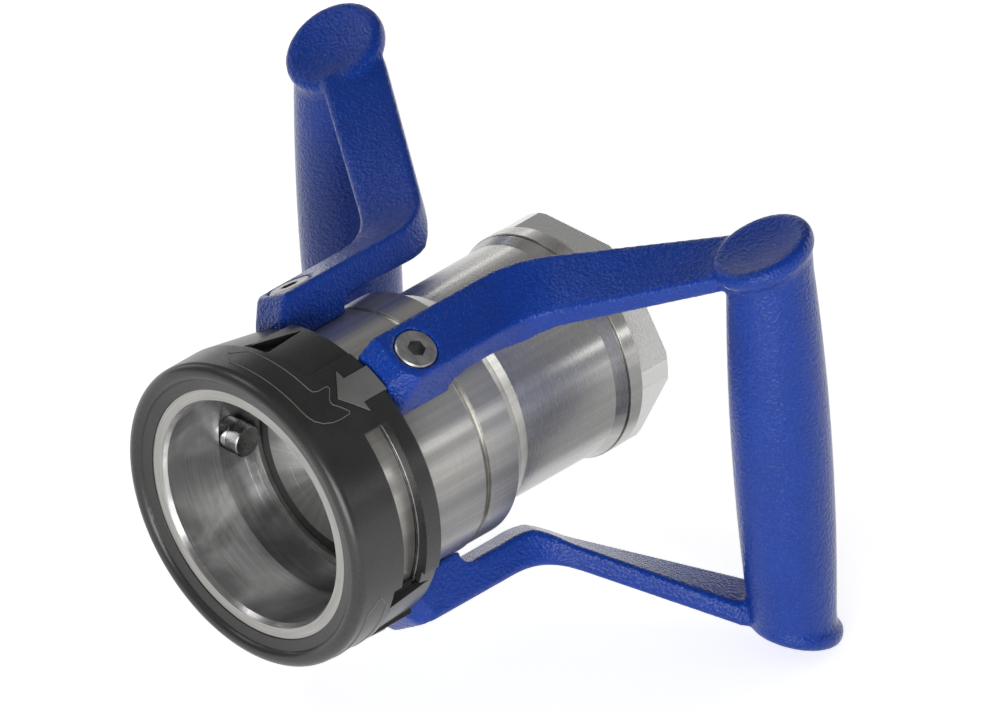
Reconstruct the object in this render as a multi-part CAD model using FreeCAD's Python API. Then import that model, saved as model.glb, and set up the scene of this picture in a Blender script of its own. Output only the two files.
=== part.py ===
import FreeCAD, Part
import math
import os

V = FreeCAD.Vector

# Hose unit of a dry disconnect coupling, in millimetres.
# The origin is the centre of the mouth. The mouth faces -Y and the hose end faces +Y.
# +Z is up, both grips stand parallel to Z, and the handles mirror each other about X = 0.
# Angles round the coupling axis are in degrees from +Z towards +X.

# How far cutting solids reach past what they cut
cut_margin = 1.0

# Front body: one turned piece from the mouth to the swivel
bore_radius = 35.0
bore_depth = 22.2
mouth_chamfer_width = 1.0
mouth_chamfer_depth = 1.6
face_width = 4.3
rim_shoulder = 4.0
flange_step = 3.9
flange_end = 31.0
undercut_depth = 2.3
undercut_width = 10.4
guide_step = 1.6
barrel_wall = 5.5
waist_bevel = 2.0
waist_groove_width = 0.5
waist_groove_depth = 1.5
rear_barrel_step = 0.4
rear_barrel_length = 14.1
rear_bevel_length = 3.0
rear_bevel_width = 2.2

# Bumper ring: one moulding round the front flange
ring_clearance = 0.1
ring_wall = 4.6
ring_rear_lap = 0.4
ring_edge_chamfer = 0.8
ring_face_width = 3.4
ring_face_height = 1.0
ring_inner_height = 0.3
lip_width = 6.1
lip_height = 2.6
lip_back = 0.8
window_start_angle = 45.5
window_end_angle = 113.0
window_front = 15.7
window_width = 9.2
taper_start_angle = -150.0
taper_front = 12.0
taper_depth = 3.5
pocket_count = 3
pocket_start_angle = -13.4
pocket_end_angle = 17.0
pocket_length = 18.0
pocket_depth = 0.6
pocket_end_depth = 1.5
notch_angle = -3.0
notch_tip_angle = -6.0
notch_depth = 3.4
notch_lead = 0.6
notch_tip_margin = 2.0

# Retaining wire that holds the bumper ring on the flange
wire_radius = 1.0
wire_setback = 5.2
wire_proud = 0.4
wire_groove_clearance = 0.15
wire_gap_place = -110.0
wire_gap_angle = 8.0

# Block arrows let into the bumper ring, one over each roller
arrow_length = 15.7
arrow_head_length = 6.5
arrow_half_width = 7.9
arrow_shaft_half_width = 4.6
arrow_proud = 0.25
arrow_depth = 0.9
arrow_clearance = 0.12

# Gap round pins, screws, plugs and soft rings in their holes and grooves
seat_clearance = 0.03

# Rollers and their pins
roller_count = 3
first_roller_angle = 30.0
roller_radius = 4.9
roller_length = 3.8
roller_outer_gap = 0.6
roller_running_gap = 0.05
roller_end_gap = 0.12
pin_head_length = 4.5
pin_head_chamfer = 0.4
pin_radius = 2.8

# Sliding sleeve
sleeve_clearance = 0.05
sleeve_setback = 0.7
sleeve_flange_length = 5.6
sleeve_travel = 8.0
sleeve_end_gap = 0.3
sleeve_rim_width = 2.15
sleeve_tube_wall = 2.8
sleeve_passage_radius = 22.5
sleeve_length = 12.4
sleeve_face_setback = 1.3
lip_seal_width = 3.8
lip_seal_depth = 1.6
lip_seal_height = 2.2
lip_seal_slope = 0.9
sleeve_ring_land = 0.9
sleeve_ring_width = 2.4
sleeve_ring_depth = 1.8

# Fixed poppet
poppet_radius = 20.6
poppet_taper = 1.6
poppet_thickness = 4.6
poppet_seat_gap = 0.1
poppet_root_length = 3.0
stem_radius = 6.0
stem_thread_radius = 4.9
stem_end_margin = 1.5
poppet_seal_width = 1.5
poppet_seal_depth = 1.1

# Guide spider that carries the poppet, its retaining ring and the nut
spider_thickness = 5.0
spider_clearance = 0.1
spider_rim_width = 4.4
spider_hub_radius = 10.0
spider_leg_width = 5.0
spider_leg_count = 3
retainer_thickness = 1.4
retainer_clearance = 0.04
retainer_width = 3.2
retainer_groove_depth = 1.0
retainer_gap_angle = 24.0
nut_flats = 17.0
nut_thickness = 5.6

# Main spring
spring_wire_radius = 1.0
spring_outer_gap = 3.0
spring_turns = 3.5
spring_arcs_per_turn = 4
spring_end_gap = 0.05

# Swivel end with the hose thread
swivel_gap = 0.3
nose_front_gap = 1.0
nose_step = 1.85
nose_clearance = 0.05
flow_radius = 25.4
neck_step = 2.6
neck_shoulder_length = 4.8
neck_shoulder_step = 2.3
collar_cone_length = 3.8
collar_cone_step = 1.3
collar_length = 5.2
collar_groove_width = 0.6
collar_groove_depth = 0.7
collar_step = 0.4
hex_length = 11.1
hex_flats = 64.0
hex_end_chamfer = 0.8
total_length = 135.1
thread_radius = 28.6
thread_depth = 24.0
thread_runout = 2.0
thread_mouth_width = 1.6

# Ball race and seals of the swivel
nose_land = 1.4
race_land = 1.6
wiper_land = 1.2
rear_land = 0.2
ball_radius = 3.0
ball_count = 24
ball_clearance = 0.03
plug_angle = -150.0
plug_radius = 4.2
plug_length = 3.2
plug_recess = 0.2
plug_socket_flats = 4.0
plug_socket_depth = 1.8
swivel_ring_width = 2.4
swivel_ring_depth = 1.8
wiper_width = 1.4
wiper_depth = 1.6

# Handles: two castings with their upper and lower arms alike
handle_seat_gap = 0.05
handle_ring_gap = 0.6
screw_angle = 30.0
screw_setback = 14.2
boss_height = 13.6
boss_length = 23.2
boss_root = 4.0
boss_reach = 20.0
nose_drop = 6.0
nose_slope = 4.6
nose_corner_width = 8.0
nose_corner_setback = 8.2
nose_corner_slope = 0.46
arm_lean = 20.0
arm_inner_x = 17.7
arm_width = 15.9
arm_depth = 10.2
bend_depth = 11.4
arm_end_depth = 7.8
arm_edge_radius = 1.5
bend_inner_y = 92.6
bend_outer_y = 83.2
bend_inner_length = 12.0
bend_outer_length = 11.0
bend_steps = 6
arm_end_inner_x = 14.8
arm_end_inner_y = 4.0
arm_end_inner_height = 63.6
arm_end_outer_x = 6.7
arm_end_outer_y = 13.7
arm_end_outer_height = 59.7
arm_root_share = 0.5
grip_x = 89.1
grip_y = 127.6
grip_radius = 14.6
grip_end_radius = 12.7
grip_end_height = 58.0
cap_edge_radius = 2.2

# Upper caps: thumb rests that slope up to the rear
rest_radius = 15.6
rest_thickness = 7.2
rest_foot_radius = 4.0
rest_dish_radius = 12.8
rest_dish_depth = 1.4
left_rest_height = 63.4
left_rest_shift_x = 0.0
left_rest_shift_y = 2.2
left_rest_side_slope = -0.10
left_rest_rear_slope = 0.55
right_rest_height = 67.2
right_rest_shift_x = 1.6
right_rest_shift_y = 2.0
right_rest_side_slope = 0.23
right_rest_rear_slope = 0.27

# Lower caps: feet that slope gently
foot_radius = 13.9
foot_height = 65.1
foot_thickness = 5.6
foot_side_slope = 0.08
foot_rear_slope = 0.30

# Handle screws
screw_head_radius = 6.5
screw_head_height = 4.2
screw_head_chamfer = 0.5
screw_radius = 4.0
screw_depth = 4.1
screw_clearance = 0.2
screw_recess = 0.1
screw_socket_flats = 5.0
screw_socket_depth = 2.4

# Radii worked out from the sizes above
face_radius = bore_radius + face_width
flange_radius = face_radius + flange_step
ring_bore_radius = flange_radius + ring_clearance
ring_radius = ring_bore_radius + ring_wall
ring_face_radius = face_radius + ring_face_width
lip_radius = face_radius + lip_width
undercut_radius = bore_radius + undercut_depth
guide_radius = bore_radius - guide_step
barrel_radius = guide_radius + barrel_wall
rear_barrel_radius = barrel_radius - rear_barrel_step
body_end_radius = rear_barrel_radius - rear_bevel_width
wire_circle_radius = flange_radius + wire_proud
sleeve_radius = guide_radius - sleeve_clearance
sleeve_rim_radius = sleeve_radius - sleeve_rim_width
lip_seal_radius = sleeve_rim_radius - lip_seal_width
poppet_rear_radius = poppet_radius - poppet_taper
spider_radius = guide_radius - spider_clearance
spring_circle_radius = guide_radius - spring_outer_gap - spring_wire_radius
nose_bore_radius = guide_radius - nose_step
nose_radius = nose_bore_radius - nose_clearance
neck_radius = body_end_radius - neck_step
collar_cone_radius = neck_radius + collar_cone_step
collar_radius = collar_cone_radius + collar_step
handle_seat_radius = barrel_radius + handle_seat_gap
arm_face_distance = barrel_radius + boss_height
arm_outer_x = arm_inner_x + arm_width

# Places along the axis worked out from the sizes above
ring_end = flange_end + ring_rear_lap
wire_place = flange_end - wire_setback
roller_place = bore_depth + undercut_width / 2
undercut_end = bore_depth + undercut_width
sleeve_front = undercut_end + sleeve_setback
sleeve_face = sleeve_front + sleeve_face_setback
lip_seal_floor = sleeve_face + lip_seal_depth
sleeve_flange_rear = sleeve_front + sleeve_flange_length
sleeve_ring_start = sleeve_flange_rear - sleeve_ring_land - sleeve_ring_width
poppet_seal_start = sleeve_face + (poppet_thickness - poppet_seal_width) / 2
spider_front = sleeve_front + sleeve_length + sleeve_travel + sleeve_end_gap
spider_rear = spider_front + spider_thickness
retainer_front = spider_front - retainer_clearance - retainer_thickness
nose_front = spider_rear + nose_front_gap
swivel_ring_place = nose_front + nose_land
ball_place = swivel_ring_place + swivel_ring_width + race_land + ball_radius
wiper_place = ball_place + ball_radius + wiper_land
body_length = wiper_place + wiper_width + rear_land
waist_rear = body_length - rear_barrel_length
waist_front = waist_rear - waist_groove_width
barrel_end = waist_front - waist_bevel
neck_start = body_length + swivel_gap
hex_start = total_length - hex_length
collar_start = hex_start - collar_length
arrow_tip = ring_end - arrow_length
screw_place = ring_end + screw_setback
boss_front = ring_end + handle_ring_gap
boss_rear = boss_front + boss_length

# Distances from the axis along the pins and screws
roller_inner = undercut_radius - roller_outer_gap - roller_length
pin_end = math.sqrt((wire_circle_radius - wire_radius - seat_clearance) ** 2 - pin_radius ** 2)
screw_foot = barrel_radius - screw_depth
screw_under_head = arm_face_distance - screw_recess - screw_head_height


def radial(angle):
    """Unit vector square to the coupling axis at an angle round it."""
    a = math.radians(angle)
    return V(math.sin(a), 0, math.cos(a))


def turned(points):
    """Solid of revolution about Y from (radius, y) points."""
    corners = [V(r, y, 0) for r, y in points]
    return flat_face(corners).revolve(V(0, 0, 0), V(0, 1, 0), 360)


def lathe(points, angle, y):
    """Solid of revolution about a radial line, from (radius, distance off the axis) points."""
    corners = [V(r, 0, distance) for r, distance in points]
    solid = flat_face(corners).revolve(V(0, 0, 0), V(0, 0, 1), 360)
    solid = turn_about_axis(solid, angle)
    solid.translate(V(0, y, 0))
    return solid


def flat_face(corners):
    return Part.Face(Part.makePolygon(corners + corners[:1]))


def tube(inner, outer, start, end):
    """Ring about Y."""
    return turned([(inner, start), (outer, start), (outer, end), (inner, end)])


def rod(radius, start, end, angle, y):
    """Cylinder along a radial line, from one distance off the axis to another."""
    direction = radial(angle)
    return Part.makeCylinder(radius, end - start, direction * start + V(0, y, 0), direction)


def torus(circle_radius, section_radius, y):
    """Ring of round section about Y."""
    return Part.makeTorus(circle_radius, section_radius, V(0, y, 0), V(0, 1, 0))


def hexagon(flats, height, base, direction):
    """Hexagonal prism with its base centre and its direction given."""
    radius = flats / math.sqrt(3)
    angles = [math.radians(360 / 6 * i) for i in range(6)]
    corners = [V(radius * math.cos(a), radius * math.sin(a), 0) for a in angles]
    prism = flat_face(corners).extrude(V(0, 0, height))
    prism.Placement = FreeCAD.Placement(base, FreeCAD.Rotation(V(0, 0, 1), direction))
    return prism


def sector(start_angle, end_angle, front, rear, outer):
    """Wedge about Y between two angles less than 180 degrees apart, for cutting."""
    half = (end_angle - start_angle) / 2
    far = (outer + cut_margin) / math.cos(math.radians(half / 2))
    angles = (start_angle, start_angle + half, end_angle)
    corners = [V(0, front, 0)] + [radial(angle) * far + V(0, front, 0) for angle in angles]
    return flat_face(corners).extrude(V(0, rear - front, 0))


def turn_about_axis(shape, angle):
    """Copy of a shape, turned round the coupling axis."""
    copy = shape.copy()
    copy.rotate(V(0, 0, 0), V(0, 1, 0), angle)
    return copy


def rounded_wire(corners, radii):
    """Closed wire through the corners of one plane, with an arc where the radius isn't zero."""
    count = len(corners)
    turns = []
    for i in range(count):
        corner = corners[i]
        radius = radii[i]
        back = (corners[i - 1] - corner).normalize()
        ahead = (corners[(i + 1) % count] - corner).normalize()
        half = back.getAngle(ahead) / 2
        cut = radius / math.tan(half)
        centre = corner + (back + ahead).normalize() * (radius / math.sin(half))
        middle = centre + (corner - centre).normalize() * radius if radius else corner
        turns.append((corner + back * cut, middle, corner + ahead * cut))
    edges = []
    for i in range(count):
        start, middle, end = turns[i]
        if radii[i]:
            edges.append(Part.Arc(start, middle, end).toShape())
        edges.append(Part.LineSegment(end, turns[(i + 1) % count][0]).toShape())
    return Part.Wire(edges)


def roller_angles():
    return [first_roller_angle + 360 / roller_count * i for i in range(roller_count)]


def screw_places():
    """Angle of each of the four handle screws, keyed by its place."""
    return {
        "upper_right": screw_angle,
        "lower_right": 180 - screw_angle,
        "lower_left": 180 + screw_angle,
        "upper_left": -screw_angle,
    }


def front_body():
    groove_start = retainer_front - retainer_clearance
    groove_radius = guide_radius + retainer_groove_depth + retainer_clearance
    body = turned([
        (bore_radius + mouth_chamfer_width, 0),
        (face_radius, 0),
        (face_radius, rim_shoulder),
        (flange_radius, rim_shoulder),
        (flange_radius, flange_end),
        (barrel_radius, flange_end),
        (barrel_radius, barrel_end),
        (barrel_radius - waist_groove_depth, waist_front),
        (barrel_radius - waist_groove_depth, waist_rear),
        (rear_barrel_radius, waist_rear),
        (rear_barrel_radius, body_length - rear_bevel_length),
        (body_end_radius, body_length),
        (nose_bore_radius, body_length),
        (nose_bore_radius, spider_rear),
        (guide_radius, spider_rear),
        (guide_radius, spider_front),
        (groove_radius, spider_front),
        (groove_radius, groove_start),
        (guide_radius, groove_start),
        (guide_radius, undercut_end),
        (undercut_radius, undercut_end),
        (undercut_radius, bore_depth),
        (bore_radius, bore_depth),
        (bore_radius, mouth_chamfer_depth),
    ])
    body = body.cut(torus(wire_circle_radius, wire_radius + wire_groove_clearance, wire_place))
    body = body.cut(torus(nose_bore_radius, ball_radius + ball_clearance, ball_place))
    body = body.cut(rod(plug_radius + seat_clearance, nose_radius, rear_barrel_radius + cut_margin,
                        plug_angle, ball_place))
    for angle in roller_angles():
        body = body.cut(rod(pin_radius + seat_clearance, undercut_radius - cut_margin,
                            flange_radius + cut_margin, angle, roller_place))
    for angle in screw_places().values():
        body = body.cut(rod(screw_radius + seat_clearance, screw_foot - seat_clearance,
                            barrel_radius + cut_margin, angle, screw_place))
    return body


def lip_profile():
    """Section of the bumper ring in the X-Y plane, with its rounded front lip as two arcs."""
    shoulder = rim_shoulder - ring_clearance
    diagonal = math.sqrt(0.5)
    points = [
        V(face_radius + ring_clearance, -ring_inner_height, 0),
        V(face_radius + ring_clearance, shoulder, 0),
        V(ring_bore_radius, shoulder, 0),
        V(ring_bore_radius, ring_end, 0),
        V(ring_radius - ring_edge_chamfer, ring_end, 0),
        V(ring_radius, ring_end - ring_edge_chamfer, 0),
        V(ring_radius, lip_back, 0),
    ]
    edges = [Part.LineSegment(a, b).toShape() for a, b in zip(points[:-1], points[1:])]
    crest = V(lip_radius, -lip_height, 0)
    crease = V(ring_face_radius, -ring_face_height, 0)
    outer_middle = V(lip_radius + (ring_radius - lip_radius) * diagonal,
                     lip_back - (lip_height + lip_back) * diagonal, 0)
    inner_middle = V(lip_radius - (lip_radius - ring_face_radius) * diagonal,
                     -ring_face_height - (lip_height - ring_face_height) * diagonal, 0)
    edges.append(Part.Arc(points[-1], outer_middle, crest).toShape())
    edges.append(Part.Arc(crest, inner_middle, crease).toShape())
    edges.append(Part.LineSegment(crease, points[0]).toShape())
    return Part.Face(Part.Wire(edges))


def pocket():
    """Shallow recess with a deep three-cornered notch, as one cutting solid."""
    reach = ring_radius + cut_margin
    front = ring_end - pocket_length
    rear = ring_end + cut_margin
    shell = turned([
        (ring_radius - pocket_depth, front),
        (reach, front),
        (reach, rear),
        (ring_radius - pocket_end_depth, rear),
    ])
    recess = shell.common(sector(pocket_start_angle, pocket_end_angle, front, rear, reach))
    notch_front = front - notch_lead
    notch = flat_face([
        radial(pocket_start_angle) * reach + V(0, notch_front, 0),
        radial(notch_angle) * reach + V(0, notch_front, 0),
        radial(notch_tip_angle) * reach + V(0, ring_end - notch_tip_margin, 0),
    ])
    inward = radial((pocket_start_angle + notch_angle) / 2) * -(notch_depth + cut_margin)
    return recess.fuse(notch.extrude(inward))


def arrow_solid(margin, bottom, top, rear):
    """Block arrow bent to the ring's cylinder, at angle 0 and pointing to the mouth."""
    shaft = arrow_shaft_half_width + margin
    barb = arrow_tip + arrow_head_length + margin
    point = arrow_tip - margin / math.sin(math.atan2(arrow_half_width, arrow_head_length))
    half = (barb - point) * arrow_half_width / arrow_head_length
    outline = [(0, point), (half, barb), (shaft, barb), (shaft, rear),
               (-shaft, rear), (-shaft, barb), (-half, barb)]
    height = ring_radius + cut_margin
    prism = flat_face([V(x, y, height) for x, y in outline]).extrude(V(0, 0, -arrow_half_width))
    return prism.common(tube(bottom, top, point - cut_margin, rear))


def bumper_ring():
    ring = lip_profile().revolve(V(0, 0, 0), V(0, 1, 0), 360)
    groove_half = wire_radius + wire_groove_clearance
    ring = ring.cut(tube(flange_radius, wire_circle_radius + groove_half,
                         wire_place - groove_half, wire_place + groove_half))
    ring = ring.cut(sector(window_start_angle, window_end_angle, window_front,
                           window_front + window_width, ring_radius))
    reach = ring_radius + cut_margin
    rear = ring_end + cut_margin
    taper = turned([(ring_radius, taper_front), (reach, taper_front), (reach, rear),
                    (ring_radius - taper_depth, rear)])
    taper_middle = (taper_start_angle + pocket_start_angle) / 2
    for start, end in ((taper_start_angle, taper_middle), (taper_middle, pocket_start_angle)):
        ring = ring.cut(taper.common(sector(start, end, taper_front, rear, reach)))
    for i in range(pocket_count):
        ring = ring.cut(turn_about_axis(pocket(), 360 / pocket_count * i))
    recess = arrow_solid(arrow_clearance, ring_radius - arrow_depth, reach, rear)
    for angle in roller_angles():
        ring = ring.cut(turn_about_axis(recess, angle))
    return ring


def arrow_markers():
    bottom = ring_radius - arrow_depth + seat_clearance
    arrow = arrow_solid(0, bottom, ring_radius + arrow_proud, ring_end)
    return Part.makeCompound([turn_about_axis(arrow, angle) for angle in roller_angles()])


def retaining_wire():
    """Round wire ring with its gap hidden under the left of the bumper ring."""
    wire = torus(wire_circle_radius, wire_radius, wire_place)
    half = wire_radius + cut_margin
    gap = sector(wire_gap_place - wire_gap_angle / 2, wire_gap_place + wire_gap_angle / 2,
                 wire_place - half, wire_place + half, ring_radius)
    return wire.cut(gap)


def roller(angle):
    outer = roller_inner + roller_length
    sleeve = rod(roller_radius, roller_inner, outer, angle, roller_place)
    hole = rod(pin_radius + roller_running_gap, roller_inner - cut_margin, outer + cut_margin,
               angle, roller_place)
    return sleeve.cut(hole)


def roller_pin(angle):
    """Pin with a flat head inside the mouth. The retaining wire lies over its outer end."""
    head_end = roller_inner - roller_end_gap
    head_start = head_end - pin_head_length
    return lathe([
        (0, head_start),
        (roller_radius - pin_head_chamfer, head_start),
        (roller_radius, head_start + pin_head_chamfer),
        (roller_radius, head_end),
        (pin_radius, head_end),
        (pin_radius, pin_end),
        (0, pin_end),
    ], angle, roller_place)


def valve_sleeve():
    groove_start = sleeve_ring_start
    groove_end = groove_start + sleeve_ring_width
    tube_radius = sleeve_passage_radius + sleeve_tube_wall
    end = sleeve_front + sleeve_length
    return turned([
        (poppet_radius + poppet_seat_gap, sleeve_face),
        (lip_seal_radius, sleeve_face),
        (lip_seal_radius, lip_seal_floor),
        (sleeve_rim_radius, lip_seal_floor),
        (sleeve_rim_radius, sleeve_front),
        (sleeve_radius, sleeve_front),
        (sleeve_radius, groove_start),
        (sleeve_radius - sleeve_ring_depth, groove_start),
        (sleeve_radius - sleeve_ring_depth, groove_end),
        (sleeve_radius, groove_end),
        (sleeve_radius, sleeve_flange_rear),
        (tube_radius, sleeve_flange_rear),
        (tube_radius, end),
        (sleeve_passage_radius, end),
        (sleeve_passage_radius, sleeve_face + poppet_thickness),
        (poppet_rear_radius + poppet_seat_gap, sleeve_face + poppet_thickness),
    ])


def sleeve_lip_seal():
    """Rubber ridge between the sleeve's rim and its inner face."""
    inner = lip_seal_radius + seat_clearance
    outer = sleeve_rim_radius - seat_clearance
    floor = lip_seal_floor - seat_clearance
    crest = floor - lip_seal_height
    return turned([
        (inner, floor),
        (inner, crest + lip_seal_slope),
        ((inner + outer) / 2, crest),
        (outer, crest + lip_seal_slope),
        (outer, floor),
    ])


def groove_ring(outer, depth, start, width):
    """Soft ring that fills a groove, flush with the cylinder round it."""
    return tube(outer - depth + seat_clearance, outer, start + seat_clearance,
                start + width - seat_clearance)


def poppet_side(y):
    """Radius of the poppet's tapered side."""
    return poppet_radius - poppet_taper * (y - sleeve_face) / poppet_thickness


def poppet():
    rear = sleeve_face + poppet_thickness
    end = spider_rear + nut_thickness + stem_end_margin
    groove_end = poppet_seal_start + poppet_seal_width
    floor = poppet_side(poppet_seal_start) - poppet_seal_depth
    return turned([
        (0, sleeve_face),
        (poppet_radius, sleeve_face),
        (poppet_side(poppet_seal_start), poppet_seal_start),
        (floor, poppet_seal_start),
        (floor, groove_end),
        (poppet_side(groove_end), groove_end),
        (poppet_rear_radius, rear),
        (stem_radius, rear + poppet_root_length),
        (stem_radius, spider_front),
        (stem_thread_radius, spider_front),
        (stem_thread_radius, end),
        (0, end),
    ])


def poppet_seal():
    start = poppet_seal_start + seat_clearance
    end = poppet_seal_start + poppet_seal_width - seat_clearance
    floor = poppet_side(poppet_seal_start) - poppet_seal_depth + seat_clearance
    return turned([(floor, start), (poppet_side(start), start), (poppet_side(end), end), (floor, end)])


def guide_spider():
    """Rim, hub and legs that hold the poppet's stem and let the flow past."""
    spider = tube(spider_radius - spider_rim_width, spider_radius, spider_front, spider_rear)
    spider = spider.fuse(tube(stem_thread_radius + seat_clearance, spider_hub_radius,
                              spider_front, spider_rear))
    leg_start = (stem_thread_radius + spider_hub_radius) / 2
    leg_end = spider_radius - spider_rim_width / 2
    leg = Part.makeBox(spider_leg_width, spider_thickness, leg_end - leg_start,
                       V(-spider_leg_width / 2, spider_front, leg_start))
    for i in range(spider_leg_count):
        spider = spider.fuse(turn_about_axis(leg, 360 / spider_leg_count * i))
    return spider.removeSplitter()


def spider_retaining_ring():
    """Open ring in the guide bore's groove, in front of the spider."""
    outer = guide_radius + retainer_groove_depth
    end = retainer_front + retainer_thickness
    ring = tube(outer - retainer_width, outer, retainer_front, end)
    half = retainer_gap_angle / 2
    return ring.cut(sector(180 - half, 180 + half, retainer_front - cut_margin, end + cut_margin, outer))


def poppet_nut():
    base = V(0, spider_rear, 0)
    hole = Part.makeCylinder(stem_thread_radius + seat_clearance, nut_thickness, base, V(0, 1, 0))
    return hexagon(nut_flats, nut_thickness, base, V(0, 1, 0)).cut(hole)


def main_spring():
    """Compression spring between the sleeve's flange and the spider, swept along quarter-turn arcs."""
    start = sleeve_flange_rear + spring_end_gap + spring_wire_radius
    end = spider_front - spring_end_gap - spring_wire_radius

    def point(turn):
        angle = 2 * math.pi * turn
        along = start + (end - start) * turn / spring_turns
        return V(spring_circle_radius * math.cos(angle), along, spring_circle_radius * math.sin(angle))

    count = round(spring_turns * spring_arcs_per_turn)
    step = spring_turns / count
    arcs = [Part.Arc(point(i * step), point((i + 0.5) * step), point((i + 1) * step)) for i in range(count)]
    line = Part.Wire([arc.toShape() for arc in arcs])
    circle = Part.makeCircle(spring_wire_radius, point(0), V(0, 0, 1))
    return line.makePipeShell([Part.Wire(circle)], True, False)


def swivel_end():
    collar_floor = collar_cone_radius - collar_groove_depth
    ring_floor = nose_radius - swivel_ring_depth
    wiper_floor = nose_radius - wiper_depth
    end = turned([
        (flow_radius, nose_front),
        (nose_radius, nose_front),
        (nose_radius, swivel_ring_place),
        (ring_floor, swivel_ring_place),
        (ring_floor, swivel_ring_place + swivel_ring_width),
        (nose_radius, swivel_ring_place + swivel_ring_width),
        (nose_radius, wiper_place),
        (wiper_floor, wiper_place),
        (wiper_floor, wiper_place + wiper_width),
        (nose_radius, wiper_place + wiper_width),
        (nose_radius, neck_start),
        (neck_radius + neck_shoulder_step, neck_start),
        (neck_radius, neck_start + neck_shoulder_length),
        (neck_radius, collar_start - collar_cone_length),
        (collar_cone_radius, collar_start),
        (collar_floor, collar_start),
        (collar_floor, collar_start + collar_groove_width),
        (collar_radius, collar_start + collar_groove_width),
        (collar_radius, total_length - hex_end_chamfer),
        (collar_radius - hex_end_chamfer, total_length),
        (thread_radius + thread_mouth_width, total_length),
        (thread_radius, total_length - thread_mouth_width),
        (thread_radius, total_length - thread_depth),
        (flow_radius, total_length - thread_depth - thread_runout),
    ])
    blank = tube(hex_flats / 2 - cut_margin, collar_radius + cut_margin, hex_start, total_length + cut_margin)
    prism = hexagon(hex_flats, hex_length + 2 * cut_margin, V(0, hex_start - cut_margin, 0), V(0, 1, 0))
    end = end.cut(blank.cut(prism))
    return end.cut(torus(nose_radius, ball_radius + ball_clearance, ball_place))


def swivel_balls():
    circle = (nose_radius + nose_bore_radius) / 2
    angles = [360 / ball_count * i for i in range(ball_count)]
    places = [radial(angle) * circle + V(0, ball_place, 0) for angle in angles]
    return Part.makeCompound([Part.makeSphere(ball_radius, place) for place in places])


def ball_plug():
    """Socket screw that closes the ball filling hole, flush with the rear barrel."""
    top = rear_barrel_radius - plug_recess
    plug = rod(plug_radius, top - plug_length, top, plug_angle, ball_place)
    base = radial(plug_angle) * (top - plug_socket_depth) + V(0, ball_place, 0)
    return plug.cut(hexagon(plug_socket_flats, plug_socket_depth + cut_margin, base, radial(plug_angle)))


def arm_top(x, y):
    """Point on the flat outer face of the arm and the boss."""
    a = math.radians(screw_angle)
    return V(x, y, (arm_face_distance - x * math.sin(a)) / math.cos(a))


def arm_corners(inner, outer, depth):
    """Corners of a section whose slanted sides run down from two top points."""
    down = radial(arm_lean) * -depth
    return [inner, outer, outer + down, inner + down]


def bent_edge(start, corner, end, bend):
    """Points along an arm's edge: a straight run, a rounded corner and a second straight run."""
    first = corner + (start - corner).normalize() * bend
    last = corner + (end - corner).normalize() * bend
    points = [start]
    for i in range(bend_steps + 1):
        t = i / bend_steps
        points.append(first * (1 - t) ** 2 + corner * 2 * t * (1 - t) + last * t ** 2)
    return points + [end]


def upper_arm():
    """Arm from the boss to the grip: rounded sections joined by straight strips."""
    end_inner = V(grip_x - arm_end_inner_x, grip_y + arm_end_inner_y, arm_end_inner_height)
    end_outer = V(grip_x - arm_end_outer_x, grip_y - arm_end_outer_y, arm_end_outer_height)
    inner = bent_edge(arm_top(arm_inner_x, screw_place), arm_top(arm_inner_x, bend_inner_y),
                      end_inner, bend_inner_length)
    outer = bent_edge(arm_top(arm_outer_x, screw_place), arm_top(arm_outer_x, bend_outer_y),
                      end_outer, bend_outer_length)
    middle = 1 + bend_steps / 2
    sections = []
    for i, (a, b) in enumerate(zip(inner, outer)):
        depth = arm_depth + (bend_depth - arm_depth) * max(0, i - 1) / (middle - 1)
        if i > middle:
            depth = bend_depth + (arm_end_depth - bend_depth) * (i - middle) / (len(inner) - 1 - middle)
        corners = arm_corners(a, b, depth)
        sections.append(rounded_wire(corners, [arm_edge_radius] * len(corners)))
    axis = V(grip_x, grip_y, 0)
    roots = [p + V(axis.x - p.x, axis.y - p.y, 0) * arm_root_share for p in (end_inner, end_outer)]
    corners = arm_corners(roots[0], roots[1], arm_end_depth)
    sections.append(rounded_wire(corners, [arm_edge_radius] * len(corners)))
    return Part.makeLoft(sections, True, True)


def boss_side_prism():
    """Side outline of the boss, with its sloping nose and the curve under the arm."""
    across = (arm_top(arm_outer_x, 0) - arm_top(arm_inner_x, 0)).normalize()
    down = radial(arm_lean) * -1
    origin = arm_top(arm_inner_x, 0) - across * cut_margin
    width = (arm_top(arm_outer_x, 0) - arm_top(arm_inner_x, 0)).Length
    top_front = boss_front + nose_slope * (1 + cut_margin / nose_drop)
    join = boss_rear + boss_root + cut_margin
    outline = [(top_front, -cut_margin), (join, -cut_margin), (join, arm_depth), (boss_rear, arm_depth),
               (boss_rear, boss_reach), (boss_front, boss_reach), (boss_front, nose_drop)]
    corners = [origin + V(0, y, 0) + down * depth for y, depth in outline]
    wire = rounded_wire(corners, [0, 0, 0, boss_root, 0, 0, 0])
    return Part.Face(wire).extrude(across * (width + 2 * cut_margin))


def boss_plan_prism():
    """Plan of the boss, with a cut-off front corner that comes forward towards the barrel."""
    across = (arm_top(arm_outer_x, 0) - arm_top(arm_inner_x, 0)).normalize()
    down = radial(arm_lean) * -1 - V(0, nose_corner_slope, 0)
    inner = arm_top(arm_inner_x, 0) - down * cut_margin
    outer = arm_top(arm_outer_x, 0) - down * cut_margin
    front = V(0, boss_front, 0)
    corner = V(0, boss_front + nose_corner_setback, 0)
    rear = V(0, boss_rear + boss_root + boss_reach, 0)
    plan = flat_face([inner + front, outer + front - across * nose_corner_width, outer + corner,
                      outer + rear, inner + rear])
    return plan.extrude(down * (boss_reach + 2 * cut_margin))


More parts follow.
